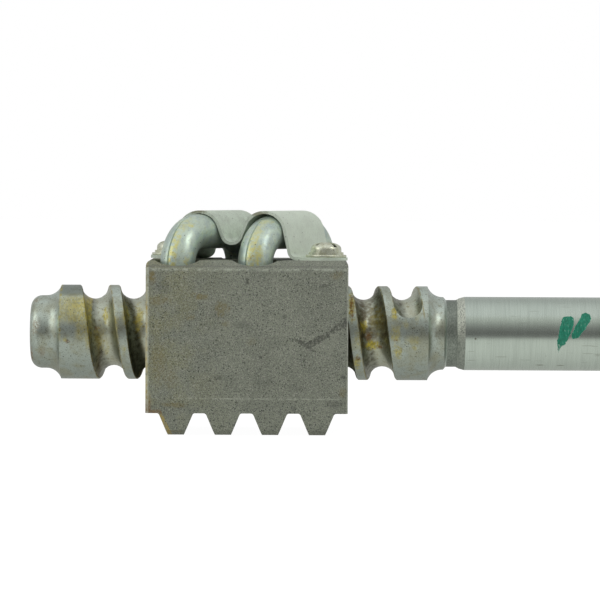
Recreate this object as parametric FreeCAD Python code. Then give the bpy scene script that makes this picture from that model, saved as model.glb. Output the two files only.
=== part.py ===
import FreeCAD, Part
import math
import os

from FreeCAD import Vector, Rotation, Placement

os.makedirs("parts", exist_ok=True)

# Steering shaft: worm shaft with a recirculating-ball rack nut.
# Frame: X runs along the shaft toward the wheel end, Z is up, the rack
# teeth point down. The origin is the centre of the lower end face.
# All sizes are in mm.

# Worm and shaft
shaft_r = 10.0
worm_r = 12.8
journal_r = 9.9
lower_end_round = 3.0
race_arc_r = 4.4
lower_race_x = 4.1
upper_race_x = 111.8
relief_r = 9.1
relief_x = (112.7, 115.4)
relief_chamfer_x = 0.7
shaft_start_x = 117.8
relief_mid = (116.3, 9.6)

# Ball track
lead = 10.42
ball_d = 7.144
track_gap = 0.178
track_r = ball_d / 2 + track_gap
track_edge = 0.3
track_top_x = 17.4
track_start_turn = -0.25
track_end_turn = 8.145
track_piece = 1.1
track_overlap = 0.02

# Wheel end of the shaft
shaft_end_x = 424.0
thread_len = 24.0
thread_r = 7.0
thread_neck_r = 6.1
thread_neck_w = 2.0
thread_chamfer = 1.2
serration_len = 26.0
serration_end_x = shaft_end_x - thread_len
serration_start_x = serration_end_x - serration_len
serration_r = 8.6
serration_root_r = 7.9
serration_sink = 0.1
serration_bevel_extra = 0.3
serration_count = 36
thread_gap = 0.1
centre_hole_r = 2.0
centre_hole_depth = 4.0

# Wheel nut and its washers
wheel_washer_r = 13.0
wheel_washer_t = 2.5
wheel_washer_gap = 0.3
lock_washer_r = 11.4
lock_washer_t = 3.0
lock_washer_bore_gap = 0.25
lock_washer_slit = 1.8
wheel_nut_flats = 22.0
wheel_nut_h = 11.0

# Ball nut block and rack
nut_mid_x = 58.9
nut_len = 54.0
nut_x0 = nut_mid_x - nut_len / 2
nut_half_y = 22.0
nut_top_z = 20.0
nut_root_z = -20.7
tooth_tip_z = -26.5
tooth_count = 4
tooth_pitch = math.pi * 4.0
tooth_tip_w = 4.3
tooth_flank_deg = 23.0
tooth_root_fillet = 0.8
tooth_front_chamfer = 1.3
top_slope_drop = 2.3
top_slope_w = 4.5
skirt_z = -16.7
skirt_in = 0.25
skirt_lean = 0.03
nut_corner = 0.8
nut_top_round = 1.4
bore_gap = 0.5
bore_chamfer = 0.8

# Return tubes
tube_r = 4.7
tube_bore_r = track_r
tube_low_z = 10.8
tube_elbow_z = 18.5
tube_elbow_r = 9.0
tube_hole_gap = 0.05
tube_seam = 0.25
tube_turns = 1.5
tube_front_turns = (2.25, 4.25)
leg_shift = 0.7
leg_kink_z = 5.0
pilot_r = track_r + 0.1
spot_face_r = 7.6
spot_face_depth = 1.5
balls_per_circuit = 27
loaded_balls = 16

# Strap
strap_t = 0.8
strap_w = 17.8
strap_angle_deg = -15.5
strap_shift = 1.0
strap_tube_gap = 0.2
strap_inner_slope_deg = 20.0
strap_outer_slope_deg = 12.0
strap_valley_r = 2.6
strap_foot_r = 2.0
strap_pad_r = 5.8
strap_foot_cover = 1.2
strap_crest_gap = 0.1
strap_blank_run = 30.0
strap_blank_w = 80.0

# Strap screws
screw_end_offset = 5.9
screw_y = 10.0
screw_r = 2.5
screw_hole_gap = 0.3
screw_tap_gap = 0.05
screw_len = 11.0
screw_hole_depth = 12.5
screw_head_r = 4.15
screw_head_h = 2.75
screw_slot_w = 1.1
screw_slot_len = 5.0
screw_slot_depth = 1.5
screw_rim_h = 0.7
screw_tip_chamfer = 0.5
plain_washer_r = 5.5
plain_washer_t = 0.7
spring_washer_r = 4.7
spring_washer_t = 0.65
spring_washer_slit = 0.8
washer_bore_gap = 0.2

X_AXIS = Vector(1, 0, 0)
Z_AXIS = Vector(0, 0, 1)


def on_helix(turn):
    """Point on the ball centre line; turn 0 is the first crest at +Z."""
    a = 2 * math.pi * turn
    return Vector(track_top_x + lead * turn, -worm_r * math.sin(a), worm_r * math.cos(a))


def turned(points):
    """Solid of revolution about X from (x, r) points; a 4-long item is an arc's middle and end."""
    edges = []
    last = Vector(points[0][0], 0, points[0][1])
    for p in points[1:]:
        if len(p) == 4:
            mid = Vector(p[0], 0, p[1])
            end = Vector(p[2], 0, p[3])
            edges.append(Part.Arc(last, mid, end).toShape())
        else:
            end = Vector(p[0], 0, p[1])
            edges.append(Part.makeLine(last, end))
        last = end
    edges.append(Part.makeLine(last, Vector(points[0][0], 0, points[0][1])))
    return Part.Face(Part.Wire(edges)).revolve(Vector(0, 0, 0), X_AXIS, 360)


def ring(x0, x1, outer, inner):
    """Plain ring about X."""
    body = Part.makeCylinder(outer, x1 - x0, Vector(x0, 0, 0), X_AXIS)
    hole = Part.makeCylinder(inner, x1 - x0 + 2, Vector(x0 - 1, 0, 0), X_AXIS)
    return body.cut(hole)


def race_reach():
    """Axial length of a bearing race arc from its lowest point to the worm's outside."""
    rise = worm_r - journal_r
    return math.sqrt(race_arc_r ** 2 - (race_arc_r - rise) ** 2)


def race_mid():
    """Offset and radius of the middle of a race arc."""
    half = math.asin(race_reach() / race_arc_r) / 2
    return race_arc_r * math.sin(half), journal_r + race_arc_r * (1 - math.cos(half))


def shaft_blank():
    """Worm, races, relief, shaft, serration blank and thread blank as one turned solid."""
    d = lower_end_round * (1 - math.sqrt(0.5))
    reach = race_reach()
    off, mid_r = race_mid()
    return turned([
        (0, 0),
        (0, journal_r - lower_end_round),
        (d, journal_r - d, lower_end_round, journal_r),
        (lower_race_x, journal_r),
        (lower_race_x + off, mid_r, lower_race_x + reach, worm_r),
        (upper_race_x - reach, worm_r),
        (upper_race_x - off, mid_r, upper_race_x, journal_r),
        (relief_x[0] - relief_chamfer_x, journal_r),
        (relief_x[0], relief_r),
        (relief_x[1], relief_r),
        relief_mid,
        (shaft_start_x, shaft_r),
        (serration_start_x, shaft_r),
        (serration_start_x + shaft_r - serration_root_r, serration_root_r),
        (serration_end_x, serration_root_r),
        (serration_end_x, thread_neck_r),
        (serration_end_x + thread_neck_w, thread_neck_r),
        (serration_end_x + thread_neck_w + thread_r - thread_neck_r, thread_r),
        (shaft_end_x - thread_chamfer, thread_r),
        (shaft_end_x, thread_r - thread_chamfer),
        (shaft_end_x, 0),
    ])


def sweep_track(turn0, turn1, edge):
    """Cutter for the ball track between two turns; edge adds the broken corners of the land."""
    helix = Part.makeHelix(lead, lead * (turn1 - turn0), worm_r)
    start = on_helix(turn0)
    # Local Z becomes X and local X becomes Z, then the start is turned onto its angle.
    lay_down = Rotation(Z_AXIS, Vector(0, -1, 0), X_AXIS, "ZXY")
    helix.Placement = Placement(Vector(start.x, 0, 0), Rotation(X_AXIS, 360 * turn0).multiply(lay_down))
    rise = lead / (2 * math.pi)
    a = 2 * math.pi * turn0
    out = Vector(0, -math.sin(a), math.cos(a))
    along = Vector(rise, -worm_r * math.cos(a), -worm_r * math.sin(a)).normalize()
    side = along.cross(out)

    def at(w, r):
        return start + side * w + out * (r - worm_r)

    if edge:
        low = worm_r - edge
        w_low = math.sqrt(track_r ** 2 - edge ** 2)
        high = worm_r + 1.0
        w_high = w_low + high - low
        wire = Part.Wire([
            Part.Arc(at(-w_low, low), at(0, worm_r - track_r), at(w_low, low)).toShape(),
            Part.makeLine(at(w_low, low), at(w_high, high)),
            Part.makeLine(at(w_high, high), at(-w_high, high)),
            Part.makeLine(at(-w_high, high), at(-w_low, low)),
        ])
    else:
        wire = Part.Wire([Part.makeCircle(track_r, start, along)])
    return Part.Wire(helix.Edges).makePipeShell([wire], True, True)


def cut_track(body, turn0, turn1):
    """Cut the round ball track into body piece by piece, each a little over the last."""
    start = turn0
    while start < turn1:
        body = body.cut(sweep_track(start, start + track_piece + track_overlap, 0))
        start += track_piece
    return body


def serrations():
    """Serrated length as a star-shaped bar with its two ends bevelled."""
    pts = []
    for i in range(serration_count * 2):
        a = math.pi * i / serration_count
        r = serration_r if i % 2 == 0 else serration_root_r - serration_sink
        pts.append(Vector(serration_start_x, r * math.sin(a), r * math.cos(a)))
    star = Part.Face(Part.makePolygon(pts + [pts[0]]))
    bar = star.extrude(Vector(serration_end_x - serration_start_x, 0, 0))
    bevel = serration_r - serration_root_r + serration_bevel_extra
    keep = turned([
        (serration_start_x, 0),
        (serration_start_x, shaft_r),
        (serration_end_x - bevel, shaft_r),
        (serration_end_x - bevel, serration_r),
        (serration_end_x, serration_r - bevel),
        (serration_end_x, 0),
    ])
    return bar.common(keep)


def worm_shaft():
    """Shaft with its ball track, rounded track ends and wheel-end serrations."""
    body = shaft_blank().fuse(serrations())
    body = body.cut(sweep_track(track_start_turn, track_end_turn, track_edge))
    for turn in (track_start_turn, track_end_turn):
        body = body.cut(Part.makeSphere(track_r, on_helix(turn)))
    centre = Part.makeCone(centre_hole_r, 0, centre_hole_depth, Vector(shaft_end_x, 0, 0), Vector(-1, 0, 0))
    return body.cut(centre).removeSplitter()


def tooth_outline():
    """Closed outline of the block and rack in the XZ plane."""
    slope = math.tan(math.radians(tooth_flank_deg))
    tall = nut_root_z - tooth_tip_z
    tip = tooth_tip_w / 2
    foot = tip + tall * slope
    pts = [(nut_x0, nut_top_z), (nut_x0, nut_root_z)]
    for i in range(tooth_count):
        cx = nut_mid_x + (i - (tooth_count - 1) / 2) * tooth_pitch
        pts.append((cx - foot, nut_root_z))
        pts.append((cx - tip, tooth_tip_z))
        pts.append((cx + tip, tooth_tip_z))
        pts.append((cx + foot, nut_root_z))
    pts.append((nut_x0 + nut_len, nut_root_z))
    pts.append((nut_x0 + nut_len, nut_top_z))
    return [Vector(x, -nut_half_y, z) for x, z in pts]


def is_root_edge(edge):
    """True for the edge lines where a tooth flank meets the root."""
    a, b = edge.Vertexes[0].Point, edge.Vertexes[-1].Point
    flat = abs(a.z - nut_root_z) < 1e-3 and abs(b.z - nut_root_z) < 1e-3
    inside = nut_x0 + 0.5 < a.x < nut_x0 + nut_len - 0.5
    return flat and inside and abs(a.x - b.x) < 1e-3


def is_end_edge(edge, z_low, z_high):
    """True for an edge of the block's end faces that lies between two heights."""
    a, b = edge.Vertexes[0].Point, edge.Vertexes[-1].Point
    for x in (nut_x0, nut_x0 + nut_len):
        if abs(a.x - x) < 1e-3 and abs(b.x - x) < 1e-3:
            return min(a.z, b.z) > z_low - 1e-3 and max(a.z, b.z) < z_high + 1e-3
    return False


def wedge(points):
    """Bar along X over the whole block from (y, z) points."""
    face = Part.Face(Part.makePolygon([Vector(nut_x0 - 1, y, z) for y, z in points + [points[0]]]))
    return face.extrude(Vector(nut_len + 2, 0, 0))


def block():
    """Outside of the ball nut: rack teeth, sloped top edges, leaning skirt, broken corners."""
    body = Part.Face(Part.makePolygon(tooth_outline() + tooth_outline()[:1]))
    body = body.extrude(Vector(0, 2 * nut_half_y, 0))
    body = body.makeFillet(tooth_root_fillet, [e for e in body.Edges if is_root_edge(e)])
    y, far = nut_half_y, nut_half_y + 5
    tip_in = skirt_in + (skirt_z - tooth_tip_z) * skirt_lean
    for s in (-1, 1):
        body = body.cut(wedge([
            (s * (y - top_slope_w), nut_top_z),
            (s * far, nut_top_z - top_slope_drop * (far - y + top_slope_w) / top_slope_w),
            (s * far, nut_top_z + 5),
            (s * (y - top_slope_w), nut_top_z + 5),
        ]))
        body = body.cut(wedge([
            (s * y, skirt_z),
            (s * (y - skirt_in), nut_root_z),
            (s * (y - tip_in), tooth_tip_z + tooth_front_chamfer),
            (s * (y - tip_in - tooth_front_chamfer), tooth_tip_z),
            (s * (y - tip_in - tooth_front_chamfer), tooth_tip_z - 1),
            (s * far, tooth_tip_z - 1),
            (s * far, skirt_z),
        ]))
    top = [e for e in body.Edges if is_end_edge(e, nut_top_z - 0.01, nut_top_z)]
    body = body.makeFillet(nut_top_round, top)
    low = nut_top_z - top_slope_drop
    tall = (low - skirt_z) / 2
    upright = [e for e in body.Edges if is_end_edge(e, skirt_z, low) and e.BoundBox.ZLength > tall]
    return body.makeChamfer(nut_corner, upright)


def leg_xy(front_turn, rear):
    """Centre of a tube leg in plan."""
    p = on_helix(front_turn + tube_turns) if rear else on_helix(front_turn)
    return Vector(p.x + (leg_shift if rear else -leg_shift), p.y, 0)


def tube_direction(front_turn):
    """Unit vector in plan from the front leg to the rear leg."""
    return (leg_xy(front_turn, True) - leg_xy(front_turn, False)).normalize()


def pilot_points(front_turn, rear):
    """Ball centre line from the track up to the tube mouth."""
    start = on_helix(front_turn + tube_turns) if rear else on_helix(front_turn)
    leg = leg_xy(front_turn, rear)
    slope = lead / (2 * math.pi * worm_r) * (1 if rear else -1)
    kink = Vector(start.x + slope * leg_kink_z, start.y, leg_kink_z)
    return [start, kink, Vector(leg.x, leg.y, tube_low_z)]


def rod(a, b, r):
    """Round bar from a to b."""
    return Part.makeCylinder(r, (b - a).Length, a, b - a)


def tube_path(front_turn):
    """Centre line of one return tube as a wire, its lower ends at the shoulders."""
    f, r = leg_xy(front_turn, False), leg_xy(front_turn, True)
    u = tube_direction(front_turn)
    top = Vector(0, 0, tube_elbow_z + tube_elbow_r)
    k = tube_elbow_r * (1 - math.sqrt(0.5))
    a0 = f + Vector(0, 0, tube_low_z)
    a1 = f + Vector(0, 0, tube_elbow_z)
    am = f + u * k + Vector(0, 0, tube_elbow_z + tube_elbow_r - k)
    a2 = f + u * tube_elbow_r + top
    b2 = r - u * tube_elbow_r + top
    bm = r - u * k + Vector(0, 0, tube_elbow_z + tube_elbow_r - k)
    b1 = r + Vector(0, 0, tube_elbow_z)
    b0 = r + Vector(0, 0, tube_low_z)
    return Part.Wire([
        Part.makeLine(a0, a1),
        Part.Arc(a1, am, a2).toShape(),
        Part.makeLine(a2, b2),
        Part.Arc(b2, bm, b1).toShape(),
        Part.makeLine(b1, b0),
    ])


def tube_half(front_turn, side):
    """One pressed half of a return tube, its outer seam corners broken."""
    u = tube_direction(front_turn)
    n = Vector(-u.y, u.x, 0) * side
    c = leg_xy(front_turn, False) + Vector(0, 0, tube_low_z)
    d = tube_seam

    def at(along, off):
        return c + u * along + n * off

    w = math.sqrt(tube_r ** 2 - d ** 2)
    wire = Part.Wire([
        Part.Arc(at(-w, d), at(0, tube_r), at(w, d)).toShape(),
        Part.makeLine(at(w, d), at(tube_r - 2 * d, 0)),
        Part.makeLine(at(tube_r - 2 * d, 0), at(tube_bore_r, 0)),
        Part.Arc(at(tube_bore_r, 0), at(0, tube_bore_r), at(-tube_bore_r, 0)).toShape(),
        Part.makeLine(at(-tube_bore_r, 0), at(2 * d - tube_r, 0)),
        Part.makeLine(at(2 * d - tube_r, 0), at(-w, d)),
    ])
    return tube_path(front_turn).makePipeShell([wire], True, False)


def screw_places():
    """Plan positions of the rear-left and front-right strap screws."""
    return [Vector(nut_x0 + screw_end_offset, screw_y, 0),
            Vector(nut_x0 + nut_len - screw_end_offset, -screw_y, 0)]


def ball_nut():
    """Rack block with its bore, ball track, tube seats and screw holes."""
    body = block()
    bore_r = worm_r + bore_gap
    body = body.cut(Part.makeCylinder(bore_r, nut_len + 2, Vector(nut_x0 - 1, 0, 0), X_AXIS))
    for x, d in ((nut_x0, 1), (nut_x0 + nut_len, -1)):
        cone = Part.makeCone(bore_r + bore_chamfer, bore_r, bore_chamfer, Vector(x, 0, 0), Vector(d, 0, 0))
        body = body.cut(cone)
    turn0 = math.floor((nut_x0 - track_top_x) / lead) - 0.25
    turn1 = math.ceil((nut_x0 + nut_len - track_top_x) / lead) + 0.25
    body = cut_track(body, turn0, turn1)
    for front in tube_front_turns:
        for rear in (False, True):
            a, b, c = pilot_points(front, rear)
            body = body.cut(rod(a, b, pilot_r)).cut(rod(b - (c - b).normalize(), c, pilot_r))
            leg = leg_xy(front, rear)
            seat = leg + Vector(0, 0, tube_low_z)
            face = leg + Vector(0, 0, nut_top_z - spot_face_depth)
            body = body.cut(Part.makeCylinder(tube_r + tube_hole_gap, 20, seat))
            body = body.cut(Part.makeCylinder(spot_face_r, 10, face))
    for p in screw_places():
        hole = p + Vector(0, 0, nut_top_z - screw_hole_depth)
        body = body.cut(Part.makeCylinder(screw_r + screw_tap_gap, screw_hole_depth + 1, hole))
    return body


def bent_strip(verts, radii, t):
    """Closed (s, z) face of a sheet of thickness t that follows verts with bend radii."""
    n = len(verts)
    nodes = [(verts[0], verts[0], None, 0)]
    for i in range(1, n - 1):
        p, a, b = verts[i], (verts[i - 1] - verts[i]).normalize(), (verts[i + 1] - verts[i]).normalize()
        half = a.getAngle(b) / 2
        reach = radii[i] / math.tan(half)
        centre = p + (a + b).normalize() * (radii[i] / math.sin(half))
        nodes.append((p + a * reach, p + b * reach, centre, radii[i]))
    nodes.append((verts[-1], verts[-1], None, 0))

    def lane(off):
        edges, last = [], None
        for i, (start, end, centre, r) in enumerate(nodes):
            if centre is None:
                d = (nodes[1][0] - verts[0]) if i == 0 else (verts[-1] - nodes[-2][1])
                nrm = Vector(-d.z, 0, d.x).normalize()
                q = start + nrm * off
                if last:
                    edges.append(Part.makeLine(last, q))
                last = q
                continue
            to_c = centre - start
            d = Vector(to_c.z, 0, -to_c.x).normalize()
            sign = 1 if d.dot(end - start) > 0 else -1
            r_off = r - sign * off
            q0 = centre + (start - centre).normalize() * r_off
            q1 = centre + (end - centre).normalize() * r_off
            mid = centre + ((start - centre) + (end - centre)).normalize() * r_off
            edges.append(Part.makeLine(last, q0))
            edges.append(Part.Arc(q0, mid, q1).toShape())
            last = q1
        return edges

    one, two = lane(t / 2), lane(-t / 2)
    caps = [Part.makeLine(one[0].Vertexes[0].Point, two[0].Vertexes[0].Point),
            Part.makeLine(one[-1].Vertexes[-1].Point, two[-1].Vertexes[-1].Point)]
    return Part.Face(Part.Wire(Part.__sortEdges__(one + two + caps)))


def strap_profile(span):
    """Bend points and radii of the sheet's mid-line across both tubes."""
    z_pad = nut_top_z + strap_t / 2
    r = tube_r + strap_tube_gap + strap_crest_gap + strap_t / 2
    zc = tube_elbow_z + tube_elbow_r + tube_r + strap_tube_gap + strap_t / 2 - r
    di, do = math.radians(strap_inner_slope_deg), math.radians(strap_outer_slope_deg)
    # Each crest vertex is where the outer and inner flank lines of its hump cross.
    k = (math.sin(do) * math.cos(di) + math.cos(do) * math.sin(di))
    dz = r * (math.cos(di) + math.cos(do)) / k
    ds = (r - math.sin(di) * dz) / math.cos(di)
    foot = (r + math.sin(do) * (zc - z_pad)) / math.cos(do)
    valley_z = zc + (r - span / 2 * math.cos(di)) / math.sin(di)
    pts = [(-strap_blank_run, z_pad), (-foot, z_pad), (ds, zc + dz), (span / 2, valley_z),
           (span - ds, zc + dz), (span + foot, z_pad), (span + strap_blank_run, z_pad)]
    verts = [Vector(s, 0, z) for s, z in pts]
    return verts, [0, strap_foot_r, r, strap_valley_r, r, strap_foot_r, 0], foot


def prism(points, z0, z1):
    """Upright prism over plan points."""
    pts = [Vector(p.x, p.y, z0) for p in points]
    return Part.Face(Part.makePolygon(pts + [pts[0]])).extrude(Vector(0, 0, z1 - z0))


def pad_prism(a, b, centre, z0, z1):
    """Upright prism over the hull of the line a-b and the round pad about centre."""
    def tangent(p, other):
        back = p - centre
        if back.Length <= strap_pad_r:
            return (p + centre) * 0.5
        swing = math.degrees(math.acos(strap_pad_r / back.Length))
        back.normalize()
        both = [centre + Rotation(Z_AXIS, t).multVec(back) * strap_pad_r for t in (swing, -swing)]
        return max(both, key=lambda q: (q - other).Length)

    body = prism([a, b, tangent(b, a), centre, tangent(a, b)], z0, z1)
    return body.fuse(Part.makeCylinder(strap_pad_r, z1 - z0, Vector(centre.x, centre.y, z0)))


def strap():
    """Pressed strap over both tubes with a round pad at each screw."""
    u = tube_direction(tube_front_turns[0])
    across = Vector(u.y, -u.x, 0)
    first = (leg_xy(tube_front_turns[0], False) + leg_xy(tube_front_turns[0], True)) * 0.5
    second = (leg_xy(tube_front_turns[1], False) + leg_xy(tube_front_turns[1], True)) * 0.5
    span = (second - first).dot(across)
    verts, radii, foot = strap_profile(span)
    sheet = bent_strip(verts, radii, strap_t).extrude(Vector(0, strap_blank_w, 0))
    # Local X goes to across, local Y to u; the origin goes to the first tube's centre.
    sheet.Placement = Placement(first - u * (strap_blank_w / 2), Rotation(across, u, Z_AXIS, "ZXY"))

    middle = (first + second) * 0.5 + u * strap_shift
    band = Vector(math.cos(math.radians(strap_angle_deg)), math.sin(math.radians(strap_angle_deg)), 0)
    over = Vector(-band.y, band.x, 0) * (strap_w / 2)

    def edge_at(s, side):
        """Plan point on a band edge at distance s across from the first tube."""
        base = middle + over * side
        t = (s - (base - first).dot(across)) / band.dot(across)
        return base + band * t

    z0, z1 = nut_top_z - 1, nut_top_z + 30
    s0, s1 = -foot - strap_foot_cover, span + foot + strap_foot_cover
    plan = prism([edge_at(s0, -1), edge_at(s1, -1), edge_at(s1, 1), edge_at(s0, 1)], z0, z1)
    left, right = screw_places()
    plan = plan.fuse(pad_prism(edge_at(s0, -1), edge_at(s0, 1), left, z0, z1))
    plan = plan.fuse(pad_prism(edge_at(s1, 1), edge_at(s1, -1), right, z0, z1))
    body = sheet.common(plan)
    for p in screw_places():
        hole = Part.makeCylinder(screw_r + screw_hole_gap, 4, p + Vector(0, 0, nut_top_z - 1))
        body = body.cut(hole)
    return body


def plain_washer(place):
    """Flat washer on the strap's pad."""
    base = place + Vector(0, 0, nut_top_z + strap_t)
    body = Part.makeCylinder(plain_washer_r, plain_washer_t, base)
    body = body.makeFillet(plain_washer_t * 0.35, body.Edges[0:1] + body.Edges[2:3])
    return body.cut(Part.makeCylinder(screw_r + washer_bore_gap, plain_washer_t + 2, base - Z_AXIS))


def spring_washer(place, turn_deg):
    """Split washer above the flat one, its slit turned about the screw."""
    base = place + Vector(0, 0, nut_top_z + strap_t + plain_washer_t)
    body = Part.makeCylinder(spring_washer_r, spring_washer_t, base)
    body = body.cut(Part.makeCylinder(screw_r + washer_bore_gap, spring_washer_t + 2, base - Z_AXIS))
    slit = Part.makeBox(spring_washer_r * 2, spring_washer_slit, 4, Vector(0, -spring_washer_slit / 2, -1))
    slit.Placement = Placement(base, Rotation(Z_AXIS, turn_deg))
    return body.cut(slit)


def pan_screw(place, turn_deg):
    """Pan-head screw with a cross recess and a plain shank."""
    seat = nut_top_z + strap_t + plain_washer_t + spring_washer_t
    h, r = screw_head_h, screw_head_r
    dome = h - screw_rim_h
    big = (r * r + dome * dome) / (2 * dome)
    head = Part.makeCylinder(r, h, place + Vector(0, 0, seat))
    ball = Part.makeSphere(big, place + Vector(0, 0, seat + h - big))
    head = head.common(ball)
    shank = Part.makeCylinder(screw_r, screw_len, place + Vector(0, 0, seat - screw_len))
    shank = shank.makeChamfer(screw_tip_chamfer, [e for e in shank.Edges if e.BoundBox.ZMax < seat - screw_len + 0.1])
    body = head.fuse(shank)
    top = place + Vector(0, 0, seat + h)
    for a in (turn_deg, turn_deg + 90):
        taper = Part.makeWedge(-screw_slot_len / 2, 0, -screw_slot_w / 2, -0.25, -1.0,
                               screw_slot_len / 2, screw_slot_depth, screw_slot_w / 2, 0.25, 1.0)
        taper.Placement = Placement(top + Vector(0, 0, 0.05), Rotation(Z_AXIS, a).multiply(Rotation(X_AXIS, -90)))
        body = body.cut(taper)
    return body


def circuit_points(front_turn):
    """Dense closed line of ball centres through the track and the return tube."""
    step = 0.05
    n = int(tube_turns * 2 * math.pi * worm_r / step)
    pts = [on_helix(front_turn + tube_turns * i / n) for i in range(n + 1)]
    up = pilot_points(front_turn, True)
    down = pilot_points(front_turn, False)
    pts += up[1:]
    pts += [Vector(*p) for p in reversed(tube_path(front_turn).discretize(Distance=step))]
    pts += list(reversed(down))[1:]
    return pts


def ball_centres(front_turn):
    """Ball centres spaced evenly round the closed line, the loaded ones first."""
    pts = circuit_points(front_turn)
    dist = [0.0]
    for a, b in zip(pts, pts[1:]):
        dist.append(dist[-1] + (b - a).Length)
    gap = dist[-1] / balls_per_circuit
    loaded_len = tube_turns * math.sqrt((2 * math.pi * worm_r) ** 2 + lead ** 2)
    first = (loaded_len - (loaded_balls - 1) * gap) / 2
    found, j = [], 0
    for i in range(balls_per_circuit):
        want = (first + i * gap) % dist[-1]
        if want < dist[j]:
            j = 0
        while dist[j + 1] < want:
            j += 1
        t = (want - dist[j]) / (dist[j + 1] - dist[j])
        found.append(pts[j] + (pts[j + 1] - pts[j]) * t)
    return found


def wheel_end():
    """Loose flat washer, lock washer and hexagon nut on the wheel-end thread."""
    x0 = serration_end_x + wheel_washer_gap
    x1 = x0 + wheel_washer_t
    x2 = x1 + wheel_washer_gap
    x3 = x2 + lock_washer_t
    x4 = x3 + wheel_nut_h
    washer = ring(x0, x1, wheel_washer_r, thread_r + wheel_washer_gap)
    lock = ring(x2, x3, lock_washer_r, thread_r + lock_washer_bore_gap)
    corner = Vector(x2 - 1, -lock_washer_slit / 2, 0)
    slit = Part.makeBox(lock_washer_t + 2, lock_washer_slit, lock_washer_r + 2, corner)
    lock = lock.cut(slit)
    pts = []
    for i in range(7):
        a = math.radians(60 * i + 30)
        r = wheel_nut_flats / 2 / math.cos(math.radians(30))
        pts.append(Vector(x3, r * math.cos(a), r * math.sin(a)))
    hexagon = Part.Face(Part.makePolygon(pts)).extrude(Vector(wheel_nut_h, 0, 0))
    flat = wheel_nut_flats / 2
    tip = flat / math.cos(math.radians(30))
    drop = (tip - flat) * math.tan(math.radians(30))
    cover = turned([(x3, 0), (x3, flat), (x3 + drop, tip), (x4 - drop, tip), (x4, flat), (x4, 0)])
    nut = hexagon.common(cover)
    nut = nut.cut(Part.makeCylinder(thread_r + thread_gap, wheel_nut_h + 2, Vector(x3 - 1, 0, 0), X_AXIS))
    return washer, lock, nut


def save(name, shape):
    """Write one node."""
    shape.exportStep(os.path.join("parts", name + ".step"))


def main():
    save("worm_shaft", worm_shaft())
    washer, lock, nut = wheel_end()
    save("wheel_washer", washer)
    save("wheel_lock_washer", lock)
    save("wheel_nut", nut)
    save("ball_nut", ball_nut())
    save("tube_strap", strap())
    for name, place, turn in zip(("rear", "front"), screw_places(), (20, 35)):
        save("plain_washer_" + name, plain_washer(place))
        save("spring_washer_" + name, spring_washer(place, turn + 60))
        save("strap_screw_" + name, pan_screw(place, turn))
    for name, front in zip(("lower", "upper"), tube_front_turns):
        save("return_tube_" + name + "_left", tube_half(front, 1))
        save("return_tube_" + name + "_right", tube_half(front, -1))
        centres = ball_centres(front)
        for i, c in enumerate(centres[:loaded_balls]):
            save("ball_%s_%02d" % (name, i + 1), Part.makeSphere(ball_d / 2, c))
        rest = [Part.makeSphere(ball_d / 2, c) for c in centres[loaded_balls:]]
        save("return_balls_" + name, Part.makeCompound(rest))


main()
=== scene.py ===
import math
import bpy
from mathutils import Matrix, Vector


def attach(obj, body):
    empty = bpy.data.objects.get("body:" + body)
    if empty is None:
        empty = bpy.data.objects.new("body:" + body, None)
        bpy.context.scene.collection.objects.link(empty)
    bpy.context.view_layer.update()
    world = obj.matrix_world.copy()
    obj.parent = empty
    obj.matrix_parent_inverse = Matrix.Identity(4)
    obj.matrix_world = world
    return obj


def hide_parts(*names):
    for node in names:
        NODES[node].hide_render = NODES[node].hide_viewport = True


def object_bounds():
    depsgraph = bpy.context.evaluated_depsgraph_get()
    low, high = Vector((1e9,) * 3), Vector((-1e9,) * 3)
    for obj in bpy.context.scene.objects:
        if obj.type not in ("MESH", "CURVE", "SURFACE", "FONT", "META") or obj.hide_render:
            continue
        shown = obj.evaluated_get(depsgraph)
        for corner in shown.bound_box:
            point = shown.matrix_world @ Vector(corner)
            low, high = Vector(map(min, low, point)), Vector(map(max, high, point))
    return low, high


bl_info = {
    "name": "Steering Shaft",
    "version": (1, 0, 0),
    "blender": (4, 5, 0),
    "location": "View3D > Sidebar > Steering Shaft",
    "description": "Dresses a recirculating-ball steering shaft and sets its studio",
    "category": "Object",
}

import bmesh
import bpy
from bpy.props import FloatProperty, FloatVectorProperty, PointerProperty
from mathutils import Matrix, Vector

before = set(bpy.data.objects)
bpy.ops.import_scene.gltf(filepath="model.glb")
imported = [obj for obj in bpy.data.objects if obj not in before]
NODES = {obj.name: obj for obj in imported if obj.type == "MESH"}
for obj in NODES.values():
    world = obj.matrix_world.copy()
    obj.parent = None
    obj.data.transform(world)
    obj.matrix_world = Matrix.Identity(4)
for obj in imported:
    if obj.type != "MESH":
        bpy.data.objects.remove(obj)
CAD_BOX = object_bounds()
MM = 0.001

# Places on the part in millimetres, as its source has them
LEAD = 10.42
TRACK_TOP_X = 17.4
TRACK_TURNS = (-0.30, 8.19)
WORM_R = 12.8
WORM_END_X = 112.4
RELIEF_X = (112.75, 117.7)
THREAD_X = (402.9, 423.0)
NUT_X = (31.9, 85.9)
NUT_HALF_Y = 22.0
FLANK_X = 26.56
FLANK_SLOPE = 0.4663
TUBE_LEGS = ((40.1, -12.8), (61.0, -12.8))
TUBE_SEAM_NORMAL = (-0.833, 0.554)

# Strap screws in millimetres: place on the strap and turn of the recess in degrees
SCREWS = {"front": ((80.0, -10.0), 40), "rear": ((37.8, 10.0), 22)}
SCREW_SEAT_Z = 22.15
HEAD_R = 4.13
HEAD_RIM = 0.70
HEAD_H = 2.70
HEAD_CURVE = 2.35
HEAD_RINGS = (4.11, 4.04, 3.93, 3.76, 3.5, 3.15, 2.7, 2.1, 1.4, 0.7)
SHANK_R = 2.5
SHANK_LEN = 11.0
SHANK_CHAMFER = 0.5
RECESS_WINGS = (7.2, 8.1)
RECESS_WIDTH = 1.3
RECESS_DEPTH = 1.7


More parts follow.
